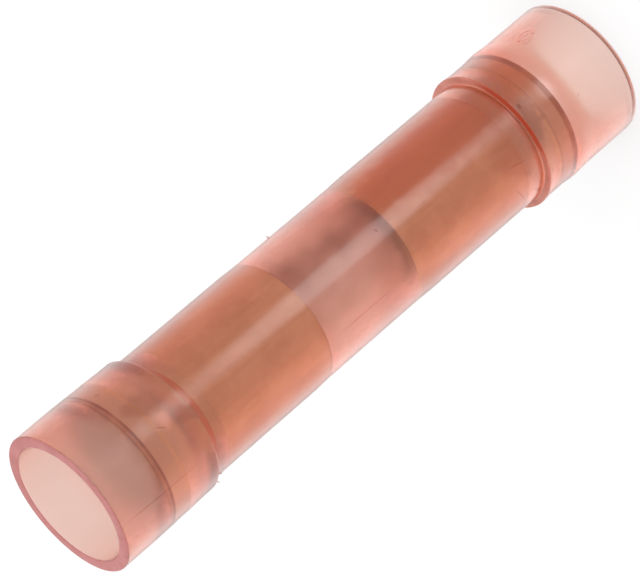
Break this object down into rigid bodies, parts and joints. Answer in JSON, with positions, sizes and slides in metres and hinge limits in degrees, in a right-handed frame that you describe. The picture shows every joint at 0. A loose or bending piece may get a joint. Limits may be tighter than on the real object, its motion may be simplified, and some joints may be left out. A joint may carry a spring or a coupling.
{
  "type": "butt splice connector",
  "caption": "Translucent nylon-insulated butt splice: a flared sleeve over belled grip tubes and a crimp barrel that joins two stripped wires end to end.",
  "frame": {"origin": "middle of the lower mouth's rim face, on which the connector stands", "axes": "+Z along the connector's axis, from the lower mouth to the upper mouth; it is a turned shape, so +X and +Y are free"},
  "size_m": [0.0058, 0.0058, 0.0267],
  "materials": {
    "red_nylon": "satin translucent salmon-red nylon",
    "grip_metal": "plain drawn brass, satin",
    "barrel_metal": "tin-plated copper, satin silver-grey"
  },
  "bodies": {
    "root": {"insulating_sleeve": "red_nylon", "upper_grip_tube": "grip_metal", "lower_grip_tube": "grip_metal", "crimp_barrel": "barrel_metal"}
  },
  "joints": []
}
